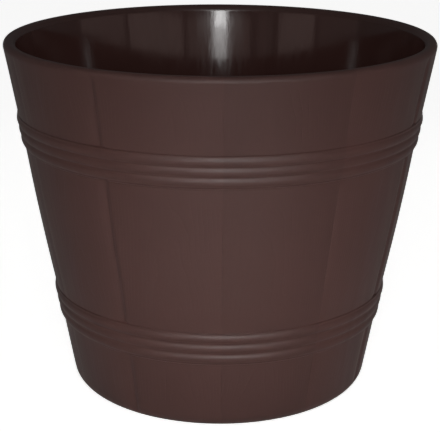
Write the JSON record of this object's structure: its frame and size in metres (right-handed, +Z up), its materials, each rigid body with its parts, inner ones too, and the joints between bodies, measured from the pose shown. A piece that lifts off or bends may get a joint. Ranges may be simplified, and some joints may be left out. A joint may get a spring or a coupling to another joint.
{
  "type": "planter",
  "caption": "Tapered round plastic planter with a barrel stave wall, beaded hoops, a rounded rim, a notched foot ring and drain holes closed by lift-out plugs.",
  "frame": {"origin": "centre of the foot ring, on the plane that the pot stands on", "axes": "+Z up along the tub's axis, -Y towards the front of the picture, +X to its right"},
  "size_m": [0.305, 0.305, 0.254],
  "materials": {
    "pot_plastic": "satin moulded, dark brown outside and smooth inside",
    "plug_plastic": "soft matte"
  },
  "bodies": {
    "pot": {"pot_shell": "pot_plastic"},
    "plug_front": {"drain_plug_front": "plug_plastic"},
    "plug_right": {"drain_plug_right": "plug_plastic"},
    "plug_back": {"drain_plug_back": "plug_plastic"},
    "plug_left": {"drain_plug_left": "plug_plastic"}
  },
  "joints": [
    {"name": "plug_front_lift", "type": "slide", "parent": "pot", "child": "plug_front", "axis": [0, 0, 1], "range_m": [0, 0.28]},
    {"name": "plug_right_lift", "type": "slide", "parent": "pot", "child": "plug_right", "axis": [0, 0, 1], "range_m": [0, 0.28]},
    {"name": "plug_back_lift", "type": "slide", "parent": "pot", "child": "plug_back", "axis": [0, 0, 1], "range_m": [0, 0.28]},
    {"name": "plug_left_lift", "type": "slide", "parent": "pot", "child": "plug_left", "axis": [0, 0, 1], "range_m": [0, 0.28]}
  ]
}
